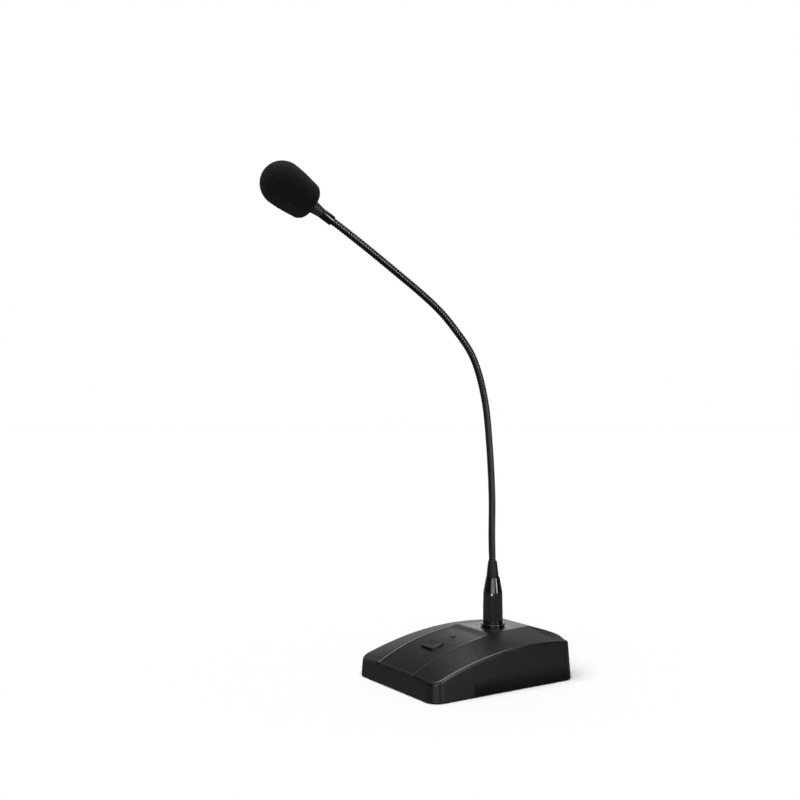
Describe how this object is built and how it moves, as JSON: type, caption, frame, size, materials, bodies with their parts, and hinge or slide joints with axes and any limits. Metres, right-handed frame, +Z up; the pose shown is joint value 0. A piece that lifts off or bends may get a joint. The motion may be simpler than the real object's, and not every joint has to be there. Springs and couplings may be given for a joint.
{
  "type": "gooseneck microphone",
  "caption": "Weighted desk base with a push button and indicator, a plug-in flexible gooseneck and a capsule under a foam windscreen.",
  "frame": {"origin": "centre of the base plate's underside, level with the housing's lower rim; the rubber feet stand 1.2 mm below it", "axes": "+Z up from the desk; -Y towards the low front edge, the side the gooseneck leans to; +X to the speaker's left as the base is seen from behind the microphone"},
  "size_m": [0.1268, 0.298, 0.465],
  "materials": {
    "housing_plastic": "satin-gloss black moulded plastic",
    "button_plastic": "satin black",
    "insert_plastic": "matte black",
    "black_metal": "glossy black",
    "matte_metal": "matte dark grey anodised",
    "gooseneck_steel": "satin black over spiral-wound steel",
    "plate_paint": "matte black paint",
    "screw_steel": "dark zinc",
    "chrome": "polished",
    "contact_brass": "gold-plated",
    "capsule_aluminium": "satin",
    "cast_iron": "rough",
    "rubber": "matte",
    "foam": "matte open-cell foam",
    "led_red": "tinted translucent",
    "circuit_board_green": "solder mask",
    "capacitor_sleeve": "shrink sleeve"
  },
  "bodies": {
    "base": {"audio_transformer": "cast_iron", "ballast_weight": "cast_iron", "base_housing": "housing_plastic", "base_plate": "plate_paint", "base_screw_1": "screw_steel", "base_screw_2": "screw_steel", "base_screw_3": "screw_steel", "base_screw_4": "screw_steel", "capacitor": "capacitor_sleeve", "circuit_board": "circuit_board_green", "led_bezel": "insert_plastic", "led_lens": "led_red", "output_insert": "insert_plastic", "output_lead": "rubber", "output_pin_1": "chrome", "output_pin_2": "chrome", "output_pin_3": "chrome", "output_screw_1": "screw_steel", "output_screw_2": "screw_steel", "output_shell": "black_metal", "rubber_foot_1": "rubber", "rubber_foot_2": "rubber", "rubber_foot_3": "rubber", "rubber_foot_4": "rubber", "socket_collar": "black_metal", "socket_insert": "insert_plastic", "socket_lead": "rubber", "switch_body": "insert_plastic"},
    "button": {"switch_button": "button_plastic"},
    "plug": {"plug_shell": "black_metal", "plug_boot": "rubber", "plug_insert": "insert_plastic", "plug_set_screw": "chrome", "plug_pin_1": "contact_brass", "plug_pin_2": "contact_brass", "plug_pin_3": "contact_brass", "gooseneck_segment_1": "gooseneck_steel", "neck_cable_1": "rubber"},
    "neck_1": {"gooseneck_segment_2": "gooseneck_steel", "neck_cable_2": "rubber"},
    "neck_2": {"gooseneck_segment_3": "gooseneck_steel", "neck_cable_3": "rubber"},
    "neck_3": {"gooseneck_segment_4": "gooseneck_steel", "neck_cable_4": "rubber"},
    "neck_4": {"gooseneck_segment_5": "gooseneck_steel", "neck_cable_5": "rubber"},
    "neck_5": {"gooseneck_segment_6": "gooseneck_steel", "neck_cable_6": "rubber"},
    "neck_6": {"gooseneck_segment_7": "gooseneck_steel", "neck_cable_7": "rubber"},
    "neck_7": {"gooseneck_segment_8": "gooseneck_steel", "neck_cable_8": "rubber"},
    "head": {"gooseneck_segment_9": "gooseneck_steel", "neck_cable_9": "rubber", "neck_collar": "black_metal", "capsule_housing": "matte_metal", "capsule_holder": "rubber", "capsule_element": "capsule_aluminium", "capsule_grille": "black_metal"},
    "windscreen": {"foam_windscreen": "foam"}
  },
  "joints": [
    {"name": "button_press", "type": "slide", "parent": "base", "child": "button", "axis": [0, 0.2644, -0.9644], "range_m": [0, 0.0018], "stiffness_N_per_m": 700, "springref_m": -0.001},
    {"name": "plug_lift", "type": "slide", "parent": "base", "child": "plug", "axis": [0, 0, 1], "range_m": [0, 0.03]},
    {"name": "neck_pitch_1", "type": "hinge", "parent": "plug", "child": "neck_1", "pos_m": [0, 0.03159, 0.1307], "axis": [1, 0, 0], "range_deg": [-20, 20]},
    {"name": "neck_sway_2", "type": "hinge", "parent": "neck_1", "child": "neck_2", "pos_m": [0, 0.03137, 0.17973], "axis": [0, 0.999, 0.0445], "range_deg": [-20, 20]},
    {"name": "neck_pitch_3", "type": "hinge", "parent": "neck_2", "child": "neck_3", "pos_m": [0, 0.02775, 0.22863], "axis": [1, 0, 0], "range_deg": [-20, 20]},
    {"name": "neck_sway_4", "type": "hinge", "parent": "neck_3", "child": "neck_4", "pos_m": [0, 0.01909, 0.2768], "axis": [0, 0.9581, 0.2866], "range_deg": [-20, 20]},
    {"name": "neck_pitch_5", "type": "hinge", "parent": "neck_4", "child": "neck_5", "pos_m": [0, -0.00436, 0.31927], "axis": [1, 0, 0], "range_deg": [-20, 20]},
    {"name": "neck_sway_6", "type": "hinge", "parent": "neck_5", "child": "neck_6", "pos_m": [0, -0.04044, 0.35231], "axis": [0, 0.5843, 0.8116], "range_deg": [-20, 20]},
    {"name": "neck_pitch_7", "type": "hinge", "parent": "neck_6", "child": "neck_7", "pos_m": [0, -0.08151, 0.3791], "axis": [1, 0, 0], "range_deg": [-20, 20]},
    {"name": "neck_sway_8", "type": "hinge", "parent": "neck_7", "child": "head", "pos_m": [0, -0.12324, 0.40485], "axis": [0, 0.5141, 0.8577], "range_deg": [-20, 20]},
    {"name": "windscreen_pull", "type": "slide", "parent": "head", "child": "windscreen", "axis": [0, -0.8721, 0.4894], "range_m": [0, 0.06]}
  ]
}
